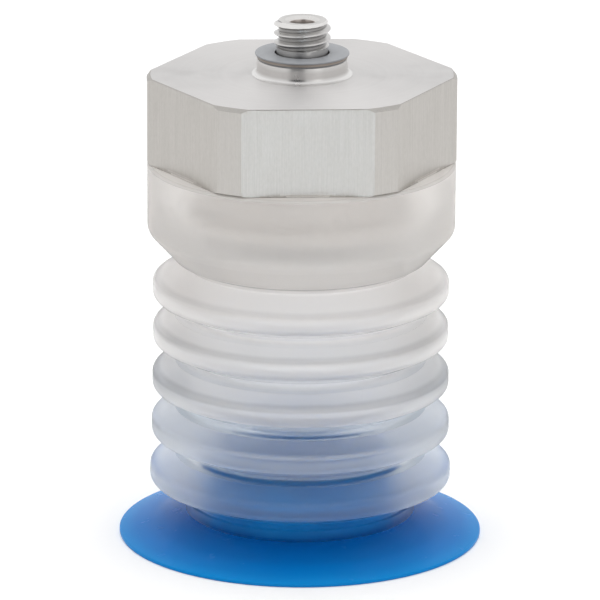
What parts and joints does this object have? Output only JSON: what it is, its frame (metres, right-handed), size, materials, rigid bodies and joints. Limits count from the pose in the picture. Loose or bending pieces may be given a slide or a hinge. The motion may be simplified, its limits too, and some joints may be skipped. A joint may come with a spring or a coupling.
{
  "type": "vacuum suction cup with holder",
  "caption": "Translucent bellows suction cup with a thin flared blue lip, on a hexagonal aluminium holder whose hollow threaded stud and gasket take it to a vacuum line.",
  "frame": {"origin": "centre of the lip's contact plane, on the cup's axis", "axes": "+Z along the axis from the lip to the stud; -Y out of one flat of the hexagon; +X through a corner"},
  "size_m": [0.0313, 0.0312, 0.0456],
  "materials": {
    "holder_aluminium": "satin, drawn grain along the axis on the flats",
    "stud_steel": "turned, bright",
    "seal_rubber": "matte black",
    "gasket_rubber": "matte blue grey",
    "gasket_steel": "sheared edge",
    "silicone": "frosted translucent silicone",
    "lip_blue": "translucent blue silicone, smooth"
  },
  "bodies": {
    "holder": {"hex_holder": "holder_aluminium", "threaded_stud": "stud_steel", "stud_o_ring": "seal_rubber", "gasket_lower_rubber": "gasket_rubber", "gasket_steel_core": "gasket_steel", "gasket_upper_rubber": "gasket_rubber", "bellows_collar": "silicone"},
    "fold_1": {"bellows_fold_1": "silicone"},
    "root_1": {"bellows_root_1": "silicone"},
    "fold_2": {"bellows_fold_2": "silicone"},
    "root_2": {"bellows_root_2": "silicone"},
    "fold_3": {"bellows_fold_3": "silicone"},
    "root_3": {"bellows_root_3": "silicone"},
    "fold_4": {"bellows_fold_4": "silicone"},
    "root_4": {"bellows_root_4": "silicone"},
    "fold_5": {"bellows_fold_5": "silicone"},
    "neck": {"bellows_neck": "silicone"},
    "lip": {"suction_lip": "lip_blue", "bellows_foot_ring": "silicone"},
    "rim": {"lip_rim": "lip_blue"}
  },
  "joints": [
    {"name": "fold_1_stroke", "type": "slide", "parent": "holder", "child": "fold_1", "axis": [0, 0, 1], "range_m": [0, 0.002], "stiffness_N_per_m": 2000, "deforming": ["bellows_fold_1"]},
    {"name": "root_1_tilt_x", "type": "hinge", "parent": "fold_1", "child": "root_1", "pos_m": [0, 0, 0.02015], "axis": [1, 0, 0], "range_deg": [-3, 3], "stiffness_Nm_per_rad": 0.12, "deforming": ["bellows_root_1"]},
    {"name": "fold_2_stroke", "type": "slide", "parent": "root_1", "child": "fold_2", "axis": [0, 0, 1], "range_m": [0, 0.002], "stiffness_N_per_m": 2000, "deforming": ["bellows_fold_2"]},
    {"name": "root_2_tilt_y", "type": "hinge", "parent": "fold_2", "child": "root_2", "pos_m": [0, 0, 0.0161], "axis": [0, 1, 0], "range_deg": [-3, 3], "stiffness_Nm_per_rad": 0.12, "deforming": ["bellows_root_2"]},
    {"name": "fold_3_stroke", "type": "slide", "parent": "root_2", "child": "fold_3", "axis": [0, 0, 1], "range_m": [0, 0.00204], "stiffness_N_per_m": 2000, "deforming": ["bellows_fold_3"]},
    {"name": "root_3_tilt_x", "type": "hinge", "parent": "fold_3", "child": "root_3", "pos_m": [0, 0, 0.01197], "axis": [1, 0, 0], "range_deg": [-3, 3], "stiffness_Nm_per_rad": 0.12, "deforming": ["bellows_root_3"]},
    {"name": "fold_4_stroke", "type": "slide", "parent": "root_3", "child": "fold_4", "axis": [0, 0, 1], "range_m": [0, 0.00206], "stiffness_N_per_m": 2000, "deforming": ["bellows_fold_4"]},
    {"name": "root_4_tilt_y", "type": "hinge", "parent": "fold_4", "child": "root_4", "pos_m": [0, 0, 0.0078], "axis": [0, 1, 0], "range_deg": [-3, 3], "stiffness_Nm_per_rad": 0.12, "deforming": ["bellows_root_4"]},
    {"name": "fold_5_stroke", "type": "slide", "parent": "root_4", "child": "fold_5", "axis": [0, 0, 1], "range_m": [0, 0.00204], "stiffness_N_per_m": 2000, "deforming": ["bellows_fold_5"]},
    {"name": "neck_tilt_x", "type": "hinge", "parent": "fold_5", "child": "neck", "pos_m": [0, 0, 0.00366], "axis": [1, 0, 0], "range_deg": [-3, 3], "stiffness_Nm_per_rad": 0.12, "deforming": ["bellows_neck"]},
    {"name": "lip_tilt_y", "type": "hinge", "parent": "neck", "child": "lip", "pos_m": [0, 0, 0.00315], "axis": [0, 1, 0], "range_deg": [-3, 3], "stiffness_Nm_per_rad": 0.12},
    {"name": "lip_flatten", "type": "slide", "parent": "lip", "child": "rim", "axis": [0, 0, 1], "range_m": [0, 0.0012], "stiffness_N_per_m": 1500}
  ],
  "couplings": [
    {"joint": "fold_2_stroke", "follows": "fold_1_stroke", "ratio": 0.99951},
    {"joint": "fold_3_stroke", "follows": "fold_1_stroke", "ratio": 1.0204},
    {"joint": "root_3_tilt_x", "follows": "root_1_tilt_x", "ratio": 1},
    {"joint": "fold_4_stroke", "follows": "fold_1_stroke", "ratio": 1.0291},
    {"joint": "root_4_tilt_y", "follows": "root_2_tilt_y", "ratio": 1},
    {"joint": "fold_5_stroke", "follows": "fold_1_stroke", "ratio": 1.0206},
    {"joint": "neck_tilt_x", "follows": "root_1_tilt_x", "ratio": 1},
    {"joint": "lip_tilt_y", "follows": "root_2_tilt_y", "ratio": 1}
  ]
}
